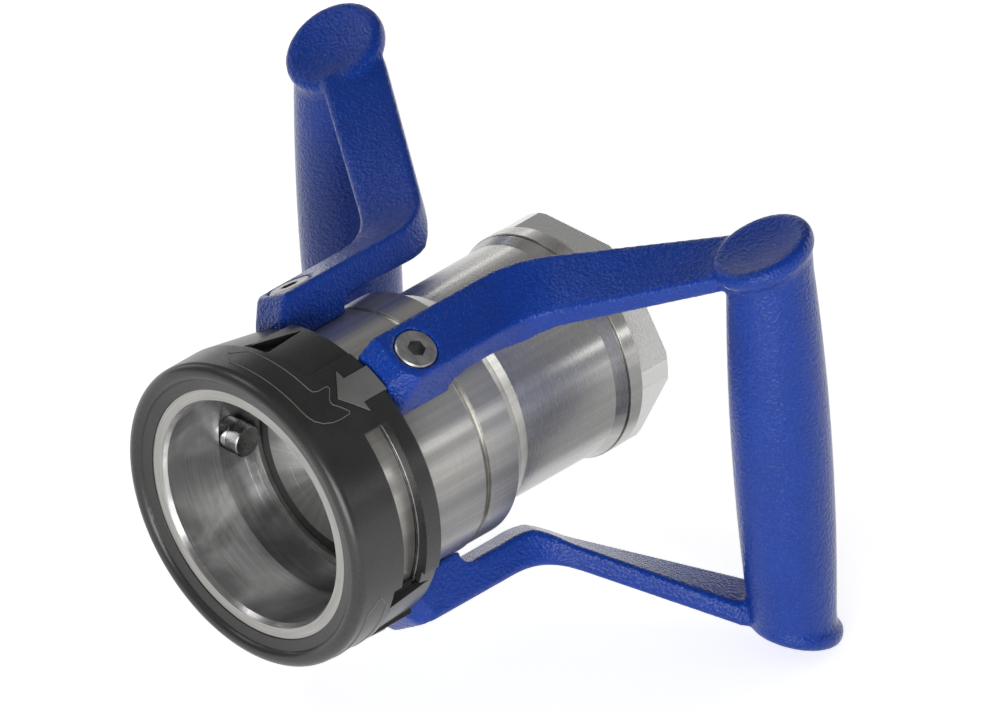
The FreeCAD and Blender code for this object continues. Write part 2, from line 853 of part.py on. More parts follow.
def upper_boss():
    """Block that seats on the barrel round a screw."""
    corners = arm_corners(arm_top(arm_inner_x, boss_front), arm_top(arm_outer_x, boss_front), boss_reach)
    bar = Part.Face(rounded_wire(corners, [arm_edge_radius] * len(corners)))
    bar = bar.extrude(V(0, boss_length + boss_root + cut_margin, 0))
    block = bar.common(boss_side_prism()).common(boss_plan_prism())
    return block.cut(Part.makeCylinder(handle_seat_radius, body_length, V(0, 0, 0), V(0, 1, 0)))


def cap_placement(shift_x, shift_y, height, side_slope, rear_slope):
    """Centre and tilt of a cap's outer face, for the right handle's upper end."""
    normal = V(-side_slope, -rear_slope, 1)
    centre = V(grip_x - shift_x, grip_y - shift_y, height)
    return FreeCAD.Placement(centre, FreeCAD.Rotation(V(0, 0, 1), normal))


def cap(placement, radius, thickness, rear_radius):
    """Thick disc under a placed face, with rounded edges."""
    disc = Part.makeCylinder(radius, thickness, V(0, 0, -thickness))
    for sign, edge_radius in ((1, rear_radius), (-1, cap_edge_radius)):
        circles = sorted([e for e in disc.Edges if e.Closed], key=lambda e: sign * e.CenterOfMass.z)
        disc = disc.makeFillet(edge_radius, circles[:1])
    disc.Placement = placement
    return disc


def thumb_rest(placement):
    """Upper cap with its dished face."""
    disc = cap(placement, rest_radius, rest_thickness, rest_foot_radius)
    hollow = (rest_dish_radius ** 2 + rest_dish_depth ** 2) / (2 * rest_dish_depth)
    ball = Part.makeSphere(hollow, V(0, 0, hollow - rest_dish_depth))
    ball.Placement = placement
    return disc.cut(ball)


def beyond(placement, thickness):
    """Everything outside the middle of a cap."""
    side = grip_y + foot_height
    box = Part.makeBox(side, side, side, V(-side / 2, -side / 2, -thickness / 2))
    box.Placement = placement
    return box


def mirror_in_z(shape):
    return shape.mirror(V(0, 0, 0), V(0, 0, 1))


def grip(rest, foot):
    """Barrel-shaped bar between the placed caps, cut off inside each of them."""
    reach = foot_height + foot_radius
    bottom = V(grip_end_radius, 0, -grip_end_height)
    top = V(grip_end_radius, 0, grip_end_height)
    edges = [
        Part.LineSegment(V(0, 0, -reach), V(grip_end_radius, 0, -reach)).toShape(),
        Part.LineSegment(V(grip_end_radius, 0, -reach), bottom).toShape(),
        Part.Arc(bottom, V(grip_radius, 0, 0), top).toShape(),
        Part.LineSegment(top, V(grip_end_radius, 0, reach)).toShape(),
        Part.LineSegment(V(grip_end_radius, 0, reach), V(0, 0, reach)).toShape(),
        Part.LineSegment(V(0, 0, reach), V(0, 0, -reach)).toShape(),
    ]
    bar = Part.Face(Part.Wire(edges)).revolve(V(0, 0, 0), V(0, 0, 1), 360)
    bar.translate(V(grip_x, grip_y, 0))
    return bar.cut([beyond(rest, rest_thickness), mirror_in_z(beyond(foot, foot_thickness))])


def handle(rest):
    """Right-hand casting with its thumb rest placed as given."""
    half = upper_boss().fuse(upper_arm())
    hole = rod(screw_radius + screw_clearance, barrel_radius - cut_margin, arm_face_distance,
               screw_angle, screw_place)
    recess = rod(screw_head_radius + screw_clearance, screw_under_head, arm_face_distance + cut_margin,
                 screw_angle, screw_place)
    half = half.cut([hole, recess])
    foot = cap_placement(0, 0, foot_height, foot_side_slope, foot_rear_slope)
    foot_cap = cap(foot, foot_radius, foot_thickness, cap_edge_radius)
    return grip(rest, foot).fuse([half, mirror_in_z(half), thumb_rest(rest), mirror_in_z(foot_cap)])


def handle_screw(angle):
    """Low-head socket screw whose head lies flush in the boss."""
    top = screw_under_head + screw_head_height
    screw = lathe([
        (0, screw_foot),
        (screw_radius, screw_foot),
        (screw_radius, screw_under_head),
        (screw_head_radius, screw_under_head),
        (screw_head_radius, top - screw_head_chamfer),
        (screw_head_radius - screw_head_chamfer, top),
        (0, top),
    ], angle, screw_place)
    base = radial(angle) * (top - screw_socket_depth) + V(0, screw_place, 0)
    return screw.cut(hexagon(screw_socket_flats, screw_socket_depth + cut_margin, base, radial(angle)))


def build():
    """All sub-parts, keyed by node name."""
    right_rest = cap_placement(right_rest_shift_x, right_rest_shift_y, right_rest_height,
                               right_rest_side_slope, right_rest_rear_slope)
    left_rest = cap_placement(left_rest_shift_x, left_rest_shift_y, left_rest_height,
                              left_rest_side_slope, left_rest_rear_slope)
    nodes = {
        "front_body": front_body(),
        "bumper_ring": bumper_ring(),
        "ring_retaining_wire": retaining_wire(),
        "arrow_markers": arrow_markers(),
        "valve_sleeve": valve_sleeve(),
        "sleeve_lip_seal": sleeve_lip_seal(),
        "sleeve_o_ring": groove_ring(sleeve_radius, sleeve_ring_depth, sleeve_ring_start, sleeve_ring_width),
        "poppet": poppet(),
        "poppet_seal": poppet_seal(),
        "poppet_nut": poppet_nut(),
        "guide_spider": guide_spider(),
        "spider_retaining_ring": spider_retaining_ring(),
        "main_spring": main_spring(),
        "swivel_end": swivel_end(),
        "swivel_balls": swivel_balls(),
        "swivel_o_ring": groove_ring(nose_radius, swivel_ring_depth, swivel_ring_place, swivel_ring_width),
        "swivel_wiper": groove_ring(nose_radius, wiper_depth, wiper_place, wiper_width),
        "ball_plug": ball_plug(),
        "handle_right": handle(right_rest),
        "handle_left": handle(left_rest).mirror(V(0, 0, 0), V(1, 0, 0)),
    }
    for number, angle in enumerate(roller_angles(), start=1):
        nodes["roller_%d" % number] = roller(angle)
        nodes["roller_pin_%d" % number] = roller_pin(angle)
    for place, angle in screw_places().items():
        nodes["handle_screw_" + place] = handle_screw(angle)
    return nodes


def main():
    os.makedirs("parts", exist_ok=True)
    for name, shape in build().items():
        if not shape.isValid():
            print("not valid:", name)
        print(name, len(shape.Solids), "solid", round(shape.Volume / 1000, 2), "cm3")
        shape.exportStep("parts/%s.step" % name)


main()
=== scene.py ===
"""Dry disconnect coupling, hose unit: camera, stage, lights, materials and added pieces."""
import math

import bpy
from mathutils import Matrix, Vector


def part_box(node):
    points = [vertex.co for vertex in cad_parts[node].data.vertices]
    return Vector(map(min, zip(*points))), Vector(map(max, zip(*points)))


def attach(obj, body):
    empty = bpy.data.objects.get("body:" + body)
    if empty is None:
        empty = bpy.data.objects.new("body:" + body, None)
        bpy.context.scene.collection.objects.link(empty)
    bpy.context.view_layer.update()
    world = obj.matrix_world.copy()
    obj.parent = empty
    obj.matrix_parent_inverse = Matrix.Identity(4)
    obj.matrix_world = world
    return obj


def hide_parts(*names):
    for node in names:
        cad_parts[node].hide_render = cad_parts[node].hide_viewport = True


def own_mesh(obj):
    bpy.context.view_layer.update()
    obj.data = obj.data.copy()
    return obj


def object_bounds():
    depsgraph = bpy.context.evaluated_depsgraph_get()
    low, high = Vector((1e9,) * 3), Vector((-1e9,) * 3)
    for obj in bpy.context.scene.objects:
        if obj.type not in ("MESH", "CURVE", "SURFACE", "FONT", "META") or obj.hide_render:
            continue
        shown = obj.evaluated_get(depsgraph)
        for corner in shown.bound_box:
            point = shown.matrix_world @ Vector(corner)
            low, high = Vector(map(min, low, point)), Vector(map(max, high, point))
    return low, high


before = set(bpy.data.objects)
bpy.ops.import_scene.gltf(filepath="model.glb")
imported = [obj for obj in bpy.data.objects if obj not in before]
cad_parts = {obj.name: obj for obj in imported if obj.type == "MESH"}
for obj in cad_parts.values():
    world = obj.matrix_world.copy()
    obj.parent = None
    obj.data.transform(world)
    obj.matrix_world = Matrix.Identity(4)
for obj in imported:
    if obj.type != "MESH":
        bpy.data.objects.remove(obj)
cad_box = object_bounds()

MM = 0.001
scene = bpy.context.scene

# Sizes of the CAD that no box of the frame states, and limits of its looks, in metres
mouth_bevel = 0.4 * MM
inside_radius = 38.0 * MM
inside_end = 33.2 * MM
undercut_start = 22.0 * MM
undercut_blend = 1.5 * MM
hexagon_length = 11.1 * MM
corner_land = 0.1 * MM
socket_radius = 3.2 * MM
socket_depth = 3.0 * MM
socket_edge = 0.05 * MM

# Sizes of the added pieces and of the softened castings, in metres
outline_radius = 0.17 * MM
casting_voxel = 0.75 * MM
thread_radius = 28.6 * MM
thread_length = 22.0 * MM
thread_pitch = 2.309 * MM
thread_height = 0.9 * MM
thread_sink = 0.1 * MM

# The thread's ridge: half widths at root and crest as shares of the pitch, and steps in a turn
root_share = 0.5
crest_share = 0.1
thread_steps = 48

# Places taken from the frame, in metres
ring_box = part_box("bumper_ring")
swivel_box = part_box("swivel_end")
ring_radius = ring_box[1][0]
collar_radius = max(swivel_box[1][0], swivel_box[1][2])
hose_end = swivel_box[1][1]
hex_start = hose_end - hexagon_length
floor_gap = 0.3 * MM
floor_height = cad_box[0][2] - floor_gap

# Camera: the picture's directions, and its centre along them, its width and its distance in metres
view_right = Vector((0.69822, 0.71365, -0.05648))
view_up = Vector((-0.34613, 0.40561, 0.84598))
view_centre = (0.07228, 0.04538)
view_width = 0.28769
camera_distance = 2.0

# Stage and light, in metres and degrees
floor_size = 16
floor_tone = 0.94
floor_glow = 0.7
world_tone = 0.2
light_aim = Vector((0, 0.06, 0))
strip_slope = 35

# Painted reflection and painted shade on turned steel: tones by the angle round the axis, in degrees
# from the top towards +X
painted_reflection_tones = [
    (-180, 0.7), (-120, 0.48), (-85, 0.8), (40, 0.9), (70, 0.85),
    (82, 0.46), (108, 0.36), (120, 0.62), (150, 0.7), (180, 0.7),
]

# Darkest and lightest tone or colour of a look
# Painted reflection streaks on turned steel
painted_streak_tones = (0.68, 1.0)
line_tones = (0.05, 0.95)
# Painted reflections in the bore
bore_painted_reflection_tones = (0.38, 0.78)
# Painted shade in the bore's undercut
undercut_painted_shade_tones = (0.18, 0.44)
bore_ring_tones = (0.7, 1.0)
# Painted shade on the hexagon's flats, darker towards the bottom
flat_painted_shade_tones = (0.68, 0.98)
mouth_face_colours = ((0.32, 0.312, 0.295, 1), (0.45, 0.438, 0.415, 1))
flat_colours = ((0.88, 0.87, 0.845, 1), (0.97, 0.96, 0.935, 1))
paint_colours = ((0.004, 0.046, 0.35, 1), (0.005, 0.052, 0.395, 1))
# Painted glints in the blue paint
painted_glint_colour = (0.03, 0.12, 0.6, 1)
painted_glint_range = (0.54, 0.7)
painted_glint_strength = 0.5

# Darkest and lightest shade, and lowest and highest roughness, as shares of the look's own
polished_shades = (0.62, 1)
moulding_shades = (0.82, 1.22)
turned_rough = (0.92, 1.1)
polished_rough = (0.7, 1.4)
moulding_rough = (0.85, 1.15)

# Roughness itself: paint from lowest to highest, and the body, whose bore is smoother
paint_rough = (0.09, 0.14)
body_rough = 0.3
bore_smoothness = 0.06


def make_camera():
    """Parallel view from the photograph's angle."""
    back = view_right.cross(view_up).normalized()
    centre = view_right * view_centre[0] + view_up * view_centre[1]
    data = bpy.data.cameras.new("camera")
    data.type = 'ORTHO'
    data.ortho_scale = view_width
    data.clip_start = 0.01
    data.clip_end = 20
    camera = bpy.data.objects.new("camera", data)
    turn = Matrix((view_right, view_up, back)).transposed().to_4x4()
    camera.matrix_world = Matrix.Translation(centre + back * camera_distance) @ turn
    scene.collection.objects.link(camera)
    scene.camera = camera


# Building blocks of the materials

def new_material(name):
    material = bpy.data.materials.new(name)
    material.use_nodes = True
    tree = material.node_tree
    tree.nodes.clear()
    output = tree.nodes.new("ShaderNodeOutputMaterial")
    shader = tree.nodes.new("ShaderNodeBsdfPrincipled")
    tree.links.new(shader.outputs["BSDF"], output.inputs["Surface"])
    return material, tree, shader


def add(tree, kind, **values):
    """Node of a kind, with its inputs or settings given by name."""
    node = tree.nodes.new(kind)
    for key, value in values.items():
        if key in node.inputs.keys():
            node.inputs[key].default_value = value
        else:
            setattr(node, key, value)
    return node


def set_inputs(node, values):
    for name, value in values.items():
        node.inputs[name].default_value = value


def grey(value):
    return (value, value, value, 1)


def place(tree, stretch=(1, 1, 1)):
    """Object coordinates, stretched on each axis."""
    where = add(tree, "ShaderNodeTexCoord")
    mapping = add(tree, "ShaderNodeMapping", Scale=stretch)
    tree.links.new(where.outputs["Object"], mapping.inputs["Vector"])
    return mapping.outputs["Vector"]


def noise(tree, scale, detail=2.0, stretch=(1, 1, 1), roughness=0.5, distortion=0.0):
    node = add(tree, "ShaderNodeTexNoise", Scale=scale, Detail=detail, Roughness=roughness,
               Distortion=distortion)
    tree.links.new(place(tree, stretch), node.inputs["Vector"])
    return node.outputs["Fac"]


def ramp(tree, factor, stops):
    """Colour ramp from (position, tone) stops."""
    node = add(tree, "ShaderNodeValToRGB")
    elements = node.color_ramp.elements
    while len(elements) < len(stops):
        elements.new(0.5)
    for element, (position, tone) in zip(elements, stops):
        element.position = position
        element.color = grey(tone)
    tree.links.new(factor, node.inputs["Fac"])
    return node.outputs["Color"]


def spread(tree, factor, low, high, out_low=0.0, out_high=1.0):
    """Factor between low and high, carried over to the range between out_low and out_high."""
    node = add(tree, "ShaderNodeMapRange")
    set_inputs(node, {"From Min": low, "From Max": high, "To Min": out_low, "To Max": out_high})
    tree.links.new(factor, node.inputs["Value"])
    return node.outputs["Result"]


def contrast(tree, factor, half_range=0.2):
    """Noise whose middle range fills 0 to 1."""
    return spread(tree, factor, 0.5 - half_range, 0.5 + half_range)


def maths(tree, kind, a, b=None):
    node = add(tree, "ShaderNodeMath", operation=kind)
    for socket, value in zip(node.inputs, (a, b)):
        if isinstance(value, (int, float)):
            socket.default_value = value
        elif value is not None:
            tree.links.new(value, socket)
    return node.outputs[0]


def mix(tree, factor, a, b, kind='MIX'):
    node = add(tree, "ShaderNodeMix", data_type='RGBA', blend_type=kind)
    for name, value in (("Factor", factor), ("A", a), ("B", b)):
        socket = [s for s in node.inputs if s.name == name and s.enabled][0]
        if isinstance(value, (int, float, tuple, list)):
            socket.default_value = value
        else:
            tree.links.new(value, socket)
    return [s for s in node.outputs if s.enabled][0]


def multiply(tree, a, b):
    return mix(tree, 1.0, a, b, 'MULTIPLY')


def mix_tones(tree, factor, tones):
    return mix(tree, factor, grey(tones[0]), grey(tones[1]))


def bump(tree, shader, height, strength, distance, normal=None):
    node = add(tree, "ShaderNodeBump", Strength=strength, Distance=distance)
    tree.links.new(height, node.inputs["Height"])
    if normal is not None:
        tree.links.new(normal, node.inputs["Normal"])
    tree.links.new(node.outputs["Normal"], shader.inputs["Normal"])


def rounded(tree, radius):
    """Normal that rounds sharp edges by a small radius."""
    node = add(tree, "ShaderNodeBevel", Radius=radius)
    node.samples = 4
    return node.outputs["Normal"]


def position(tree, axis):
    split = add(tree, "ShaderNodeSeparateXYZ")
    where = add(tree, "ShaderNodeTexCoord")
    tree.links.new(where.outputs["Object"], split.inputs["Vector"])
    return split.outputs[axis]


def axis_distance(tree):
    x = position(tree, "X")
    z = position(tree, "Z")
    squares = maths(tree, 'ADD', maths(tree, 'MULTIPLY', x, x), maths(tree, 'MULTIPLY', z, z))
    return maths(tree, 'SQRT', squares)


def roughen(tree, shader, factor, low, high, roughness):
    """Roughness that follows a factor between low and high."""
    rough = spread(tree, factor, low, high, *roughness)
    tree.links.new(rough, shader.inputs["Roughness"])


def turned_place(tree, around, along):
    """Coordinates of a turned surface: direction from the axis, and length plus radius."""
    radius = axis_distance(tree)
    length = maths(tree, 'ADD', maths(tree, 'MULTIPLY', position(tree, "Y"), along),
                   maths(tree, 'MULTIPLY', radius, along))
    join = add(tree, "ShaderNodeCombineXYZ")
    sine = maths(tree, 'DIVIDE', position(tree, "X"), radius)
    cosine = maths(tree, 'DIVIDE', position(tree, "Z"), radius)
    tree.links.new(maths(tree, 'MULTIPLY', sine, around), join.inputs["X"])
    tree.links.new(length, join.inputs["Y"])
    tree.links.new(maths(tree, 'MULTIPLY', cosine, around), join.inputs["Z"])
    return join.outputs["Vector"]


def turned_noise(tree, around, along, detail):
    """Noise on a turned surface, with its density round the axis and along the profile."""
    node = add(tree, "ShaderNodeTexNoise", Scale=1.0, Detail=detail, Roughness=0.7)
    tree.links.new(turned_place(tree, around, along), node.inputs["Vector"])
    return contrast(tree, node.outputs["Fac"])


def painted_reflection_by_angle(tree, stops):
    """Painted reflection and shade: brightness by the angle round the axis, from (degrees, tone) stops.
    """
    angle = maths(tree, 'ARCTAN2', position(tree, "X"), position(tree, "Z"))
    share = maths(tree, 'ADD', maths(tree, 'DIVIDE', angle, 2 * math.pi), 0.5)
    return ramp(tree, share, [((degrees + 180) / 360, tone) for degrees, tone in stops])


# Materials

def turned_steel(name, light, rough):
    """Turned metal: painted reflections as light and dark streaks along the axis, and fine lines round
    it.
    """
    material, tree, shader = new_material(name)
    # Painted reflections: noise for light and dark streaks along the axis
    streaks = turned_noise(tree, around=9.0, along=4.0, detail=4.0)
    marks = turned_noise(tree, around=6.0, along=3600.0, detail=3.0)
    # Painted reflection and shade: lighter and darker by the angle round the axis
    base = multiply(tree, light, painted_reflection_by_angle(tree, painted_reflection_tones))
    base = multiply(tree, base, mix_tones(tree, streaks, painted_streak_tones))
    lines = ramp(tree, marks, [(0.0, line_tones[0]), (1.0, line_tones[1])])
    lines_over_painted_reflection = mix(tree, 0.1, base, lines, 'OVERLAY')
    tree.links.new(lines_over_painted_reflection, shader.inputs["Base Color"])
    roughen(tree, shader, marks, 0, 1, [rough * share for share in turned_rough])
    set_inputs(shader, {"Metallic": 0.75, "Anisotropic": 0.6, "Anisotropic Rotation": 0.25})
    tangent = add(tree, "ShaderNodeTangent", direction_type='RADIAL', axis='Y')
    tree.links.new(tangent.outputs["Tangent"], shader.inputs["Tangent"])
    bump(tree, shader, marks, strength=0.06, distance=0.02 * MM, normal=rounded(tree, 0.25 * MM))
    return material, tree, shader, lines_over_painted_reflection


def body_steel():
    """Turned outside, a plain mouth face, and a smoother bore with painted reflection clouds and a
    darker undercut of painted shade.
    """
    material, tree, shader, lines_over_painted_reflection = turned_steel("body_steel", light=(0.86, 0.84, 0.79, 1), rough=0.26)
    along = position(tree, "Y")
    inside = maths(tree, 'LESS_THAN', axis_distance(tree), inside_radius)
    inside = maths(tree, 'MULTIPLY', inside, maths(tree, 'GREATER_THAN', along, mouth_bevel))
    inside = maths(tree, 'MULTIPLY', inside, maths(tree, 'LESS_THAN', along, inside_end))
    # Painted reflections: soft light and dark clouds on the bore
    shine = noise(tree, 60.0, detail=3.0, stretch=(1, 0.5, 1), roughness=0.55, distortion=0.9)
    shine = contrast(tree, shine, half_range=0.14)
    bore = mix_tones(tree, shine, bore_painted_reflection_tones)
    # Painted shade: the undercut, deeper in the bore, is darker
    deep = spread(tree, along, undercut_start - undercut_blend, undercut_start + undercut_blend)
    bore = mix(tree, deep, bore, mix_tones(tree, shine, undercut_painted_shade_tones))
    rings = turned_noise(tree, around=2.0, along=1500.0, detail=3.0)
    bore = multiply(tree, bore, mix_tones(tree, rings, bore_ring_tones))
    face = maths(tree, 'LESS_THAN', along, mouth_bevel)
    plain = mix(tree, face, lines_over_painted_reflection, mix(tree, rings, *mouth_face_colours))
    tree.links.new(mix(tree, inside, plain, bore), shader.inputs["Base Color"])
    smoother = maths(tree, 'MULTIPLY', inside, bore_smoothness)
    tree.links.new(maths(tree, 'SUBTRACT', body_rough, smoother), shader.inputs["Roughness"])
    return material


def swivel_steel():
    """Turned neck and collar, ground flats on the hexagon with painted shade, darker towards the bottom.
    """
    material, tree, shader, lines_over_painted_reflection = turned_steel("swivel_steel", light=(0.86, 0.845, 0.8, 1), rough=0.26)
    hexagon = maths(tree, 'GREATER_THAN', position(tree, "Y"), hex_start)
    grain = contrast(tree, noise(tree, 1.0, detail=3.0, stretch=(2400, 60, 2400), roughness=0.7))
    flats = mix(tree, grain, *flat_colours)
    # Painted shade: the flats darker towards the bottom
    height = spread(tree, position(tree, "Z"), 0.0, collar_radius, *flat_painted_shade_tones)
    flats = multiply(tree, flats, height)
    corner = maths(tree, 'GREATER_THAN', axis_distance(tree), collar_radius - corner_land)
    flats = mix(tree, corner, flats, lines_over_painted_reflection)
    tree.links.new(mix(tree, hexagon, lines_over_painted_reflection, flats), shader.inputs["Base Color"])
    return material


def polished_steel(name, level, rough):
    """Plain metal with soft clouds and a very fine grain."""
    material, tree, shader = new_material(name)
    set_inputs(shader, {"Metallic": 1.0})
    tone = contrast(tree, noise(tree, 240.0, detail=3.0, roughness=0.6), half_range=0.12)
    base = mix_tones(tree, tone, [level * shade for shade in polished_shades])
    tree.links.new(base, shader.inputs["Base Color"])
    marks = noise(tree, 3000.0)
    roughen(tree, shader, marks, 0.3, 0.7, [rough * share for share in polished_rough])
    bump(tree, shader, marks, strength=0.1, distance=0.01 * MM, normal=rounded(tree, 0.2 * MM))
    return material


def blue_paint():
    """Hammered enamel over a casting, with painted glints."""
    material, tree, shader = new_material("blue_paint")
    cloud = contrast(tree, noise(tree, 90.0, detail=3.0))
    base = mix(tree, cloud, *paint_colours)
    grain = add(tree, "ShaderNodeTexVoronoi", Scale=1000.0, feature='SMOOTH_F1', Smoothness=0.5)
    tree.links.new(place(tree), grain.inputs["Vector"])
    fine = noise(tree, 1900.0, roughness=0.6)
    height = maths(tree, 'ADD', grain.outputs["Distance"], maths(tree, 'MULTIPLY', fine, 0.8))
    # Painted glints: light blue flecks where the fine noise is high
    painted_glint = maths(tree, 'MULTIPLY', spread(tree, fine, *painted_glint_range), painted_glint_strength)
    base = mix(tree, painted_glint, base, painted_glint_colour)
    tree.links.new(base, shader.inputs["Base Color"])
    roughen(tree, shader, cloud, 0, 1, paint_rough)
    set_inputs(shader, {"Specular IOR Level": 0.3})
    bump(tree, shader, height, strength=1.0, distance=0.24 * MM)
    return material


def moulding(name, colour, rough):
    """Moulded plastic or rubber with a fine grain."""
    material, tree, shader = new_material(name)
    cloud = contrast(tree, noise(tree, 70.0, detail=4.0), half_range=0.15)
    speck = contrast(tree, noise(tree, 5000.0, detail=3.0))
    dark, light = (tuple(c * shade for c in colour[:3]) + (1,) for shade in moulding_shades)
    base = mix(tree, cloud, dark, light)
    base = mix(tree, 0.3, base, mix(tree, speck, dark, light))
    tree.links.new(base, shader.inputs["Base Color"])
    roughen(tree, shader, speck, 0, 1, [rough * share for share in moulding_rough])
    set_inputs(shader, {"Specular IOR Level": 0.5})
    bump(tree, shader, speck, strength=0.25, distance=0.03 * MM, normal=rounded(tree, 0.35 * MM))
    return material


# Looks of the CAD nodes

def dress(node, material):
    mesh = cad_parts[node].data
    mesh.materials.clear()
    mesh.materials.append(material)
    for polygon in mesh.polygons:
        polygon.material_index = 0


def paint_socket_shade(node, material):
    """Second material on the walls and floor of a screw's socket: painted shade."""
    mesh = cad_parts[node].data
    mesh.materials.append(material)
    low, high = (Vector(corner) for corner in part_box(node))
    middle = (low + high) / 2
    outward = Vector((middle.x, 0, middle.z)).normalized()
    foot = Vector((0, middle.y, 0))
    top = max((vertex.co - foot).dot(outward) for vertex in mesh.vertices)
    for polygon in mesh.polygons:
        offset = polygon.center - foot
        height = offset.dot(outward)
        off_axis = (offset - outward * height).length
        if off_axis < socket_radius and top - socket_depth < height < top - socket_edge:
            polygon.material_index = 1


def soften_casting(node):
    """Cast corners and fillets: an even remesh of the solid, smoothed."""
    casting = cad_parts[node]
    remesh = casting.modifiers.new("even", 'REMESH')
    remesh.mode = 'VOXEL'
    remesh.voxel_size = casting_voxel
    remesh.use_smooth_shade = True
    smooth = casting.modifiers.new("soften", 'SMOOTH')
    smooth.factor = 0.5
    smooth.iterations = 8


# Stage and light

def make_floor():
    """White floor: it glows for the camera and in reflections, and adds no diffuse light."""
    bpy.ops.mesh.primitive_plane_add(size=floor_size, location=(0, 0, floor_height))
    floor = bpy.context.object
    floor.name = "floor"
    material, tree, shader = new_material("floor")
    set_inputs(shader, {"Base Color": grey(floor_tone), "Roughness": 0.9})
    output = [n for n in tree.nodes if n.type == 'OUTPUT_MATERIAL'][0]
    path = add(tree, "ShaderNodeLightPath")
    seen = maths(tree, 'MAXIMUM', path.outputs["Is Camera Ray"], path.outputs["Is Glossy Ray"])
    seen = maths(tree, 'MAXIMUM', seen, path.outputs["Is Transmission Ray"])
    glow = add(tree, "ShaderNodeEmission", Color=grey(1))
    tree.links.new(maths(tree, 'MULTIPLY', seen, floor_glow), glow.inputs["Strength"])
    both = add(tree, "ShaderNodeAddShader")
    tree.links.new(shader.outputs["BSDF"], both.inputs[0])
    tree.links.new(glow.outputs["Emission"], both.inputs[1])
    tree.links.new(both.outputs["Shader"], output.inputs["Surface"])
    floor.data.materials.append(material)


def make_world():
    world = bpy.data.worlds.new("world")
    scene.world = world
    world.use_nodes = True
    tree = world.node_tree
    tree.nodes.clear()
    output = tree.nodes.new("ShaderNodeOutputWorld")
    back = add(tree, "ShaderNodeBackground", Color=grey(world_tone), Strength=1.0)
    tree.links.new(back.outputs["Background"], output.inputs["Surface"])


def soft_box(name, size, power):
    """Rectangular light, size in metres and power in watts."""
    data = bpy.data.lights.new(name, 'AREA')
    data.shape = 'RECTANGLE'
    data.size, data.size_y = size
    data.energy = power
    light = bpy.data.objects.new(name, data)
    scene.collection.objects.link(light)
    return light


def area_light(name, spot, size, power):
    """Soft box at a place, facing the object."""
    light = soft_box(name, size, power)
    light.location = spot
    light.rotation_euler = (light_aim - Vector(spot)).to_track_quat('-Z', 'Y').to_euler()


def strip_light(name, angle, size, power, distance):
    """Soft box whose length runs along the coupling, at an angle round its axis."""
    turn = math.radians(angle)
    rise = math.radians(strip_slope)
    outward = Vector((math.sin(turn) * math.cos(rise), math.sin(rise), math.cos(turn) * math.cos(rise)))
    across = Vector((math.cos(turn), 0, -math.sin(turn)))
    turned = Matrix((across, outward.cross(across), outward)).transposed().to_4x4()
    light = soft_box(name, size, power)
    light.matrix_world = Matrix.Translation(outward * distance + light_aim) @ turned


def make_lights():
    area_light("key", spot=(-0.55, -0.4, 0.75), size=(0.3, 0.3), power=1.1)
    area_light("side", spot=(-0.95, 0.0, 0.3), size=(0.2, 0.4), power=0.6)
    area_light("front", spot=(0.72, -0.74, 0.14), size=(0.7, 0.6), power=8.5)
    area_light("rear", spot=(0.1, 1.15, 0.22), size=(0.6, 0.4), power=1.4)
    strip_light("rear_panel", angle=-76, size=(0.7, 0.6), power=0.5, distance=1.2)
    strip_light("strip_left", angle=-70, size=(0.06, 0.5), power=0.2, distance=1.0)
    strip_light("strip_right", angle=75, size=(0.06, 0.5), power=0.32, distance=1.0)


# Pieces added to the frame

def curve_piece(name, points, depth, material, body):
    """Closed round bead along points."""
    curve = bpy.data.curves.new(name, 'CURVE')
    curve.dimensions = '3D'
    curve.bevel_depth = depth
    curve.bevel_resolution = 2
    spline = curve.splines.new('POLY')
    spline.points.add(len(points) - 1)
    for target, point in zip(spline.points, points):
        target.co = (*point, 1)
    spline.use_cyclic_u = True
    piece = bpy.data.objects.new(name, curve)
    scene.collection.objects.link(piece)
    piece.data.materials.append(material)
    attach(piece, body)


def ring_point(angle, along, radius):
    turn = math.radians(angle)
    return Vector((radius * math.sin(turn), along, radius * math.cos(turn)))


def refine(points, step=1.0):
    """Closed outline of (degrees, mm) points with its long sides divided."""
    result = []
    for (a0, y0), (a1, y1) in zip(points, points[1:] + points[:1]):
        count = max(1, math.ceil(max(abs(a1 - a0), abs(y1 - y0)) / step))
        for i in range(count):
            t = i / count
            result.append((a0 + (a1 - a0) * t, y0 + (y1 - y0) * t))
    return result


def arrow_outlines(material):
    """Thin raised outline of a curved arrow in front of each block arrow."""
    outline = [
        (-14.6, 7.0), (-8.6, 3.0), (27.0, 3.0), (30.2, 3.25), (33.0, 4.2), (35.2, 6.2), (36.6, 9.2),
        (36.9, 12.5), (36.7, 15.6), (36.0, 16.2), (33.1, 14.6), (31.2, 13.2), (29.9, 12.9), (28.6, 13.4),
        (25.2, 16.1), (24.3, 16.1), (23.8, 15.4), (23.9, 12.2), (23.0, 10.8), (21.0, 10.5), (-8.6, 10.7),
    ]
    for number in range(3):
        turn = 120 * number
        points = [ring_point(a + turn, y * MM, ring_radius) for a, y in refine(outline)]
        name = "arrow_outline_%d" % (number + 1)
        curve_piece(name, points, outline_radius, material, "head")


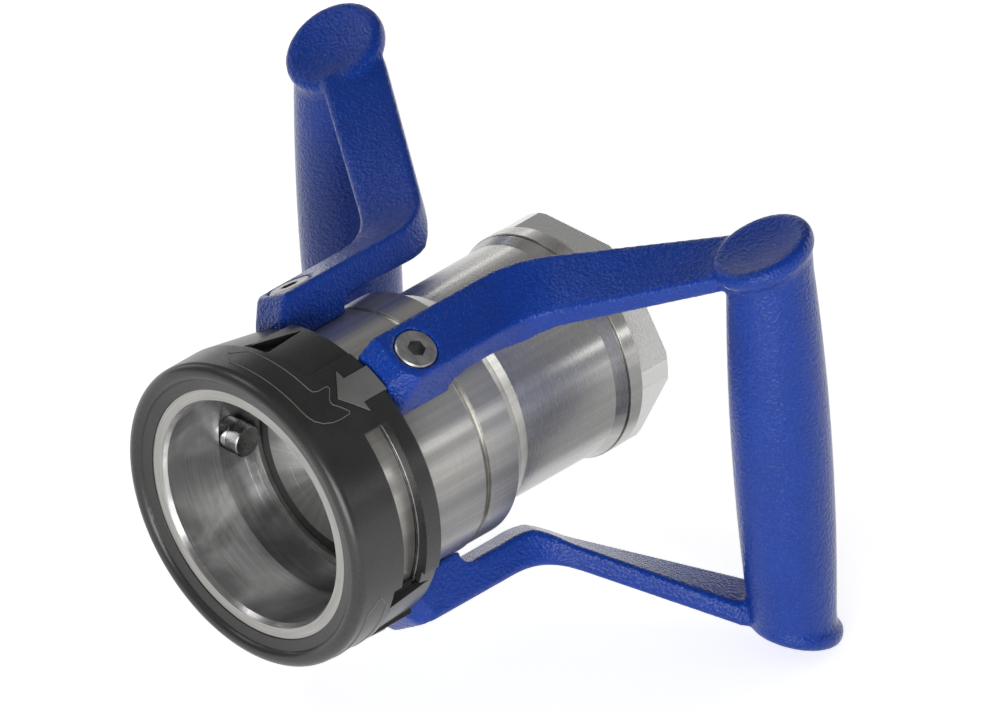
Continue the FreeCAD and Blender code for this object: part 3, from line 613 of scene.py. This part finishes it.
def hose_thread(material):
    """Helical ridge of the hose thread, standing on the hexagon's bore."""
    start = hose_end - thread_length
    root = thread_radius + thread_sink
    turns = (thread_length - 3 * thread_pitch / 2) / thread_pitch
    count = int(turns * thread_steps)
    vertices = []
    faces = []
    for i in range(count + 1):
        a = 2 * math.pi * i / thread_steps
        along = start + thread_pitch * i / thread_steps
        ends = min(1.0, i / thread_steps, (count - i) / thread_steps)
        crest = thread_radius - thread_height * ends
        profile = ((root, -root_share), (crest, -crest_share), (crest, crest_share), (root, root_share))
        for radius, share in profile:
            vertices.append((radius * math.cos(a), along + share * thread_pitch, radius * math.sin(a)))
    for i in range(count):
        for j in range(4):
            a, b = 4 * i + j, 4 * i + (j + 1) % 4
            faces.append((a, b, b + 4, a + 4))
    faces.append((3, 2, 1, 0))
    faces.append(tuple(4 * count + j for j in range(4)))
    mesh = bpy.data.meshes.new("hose_thread")
    mesh.from_pydata(vertices, [], faces)
    mesh.update()
    piece = bpy.data.objects.new("hose_thread", mesh)
    scene.collection.objects.link(piece)
    mesh.materials.append(material)
    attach(piece, "swivel")


def working_spring(material):
    """The main spring as a piece of its own, carried by the head; the CAD node is hidden."""
    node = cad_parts["main_spring"]
    piece = bpy.data.objects.new("working_spring", node.data.copy())
    scene.collection.objects.link(piece)
    piece.matrix_world = node.matrix_world.copy()
    piece.data.materials.clear()
    piece.data.materials.append(material)
    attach(piece, "head")
    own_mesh(piece)
    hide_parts("main_spring")


make_camera()
make_floor()
make_world()
make_lights()

body = body_steel()
swivel = swivel_steel()
ground = turned_steel("ground_steel", light=(0.68, 0.68, 0.66, 1), rough=0.34)[0]
bright = polished_steel("bright_steel", level=0.55, rough=0.16)
# Painted reflection: the pins' dark tone stands for the dark bore they reflect
pin_painted_reflection = polished_steel("pin_steel", level=0.3, rough=0.24)
wire = polished_steel("wire_steel", level=0.2, rough=0.3)
screw = polished_steel("screw_steel", level=0.62, rough=0.4)
paint = blue_paint()
# Painted shade: darker steel inside the screw sockets
socket = polished_steel("socket_painted_shade", level=0.3, rough=0.4)
ring_plastic = moulding("ring_moulding", colour=(0.031, 0.031, 0.03, 1), rough=0.29)
arrow_plastic = moulding("arrow_moulding", colour=(0.185, 0.183, 0.178, 1), rough=0.5)
# Painted highlight: the raised outlines are light grey for the light on their relief
outline_painted_highlight = moulding("outline_highlight_moulding", colour=(0.18, 0.176, 0.165, 1), rough=0.5)
rubber = moulding("seal_rubber", colour=(0.012, 0.012, 0.012, 1), rough=0.5)
wiper = moulding("wiper_plastic", colour=(0.6, 0.58, 0.53, 1), rough=0.5)

looks = {
    "front_body": body,
    "swivel_end": swivel,
    "bumper_ring": ring_plastic,
    "arrow_markers": arrow_plastic,
    "sleeve_lip_seal": rubber,
    "sleeve_o_ring": rubber,
    "poppet_seal": rubber,
    "swivel_o_ring": rubber,
    "swivel_wiper": wiper,
    "handle_right": paint,
    "handle_left": paint,
    "ring_retaining_wire": wire,
}
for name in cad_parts:
    if name in looks:
        dress(name, looks[name])
    elif name.startswith("roller_pin"):
        dress(name, pin_painted_reflection)
    elif name.startswith("roller"):
        dress(name, bright)
    elif name.startswith("handle_screw"):
        dress(name, screw)
        paint_socket_shade(name, socket)
    else:
        dress(name, ground)

soften_casting("handle_right")
soften_casting("handle_left")
arrow_outlines(outline_painted_highlight)
hose_thread(swivel)
working_spring(bright)

scene.view_settings.view_transform = 'Standard'
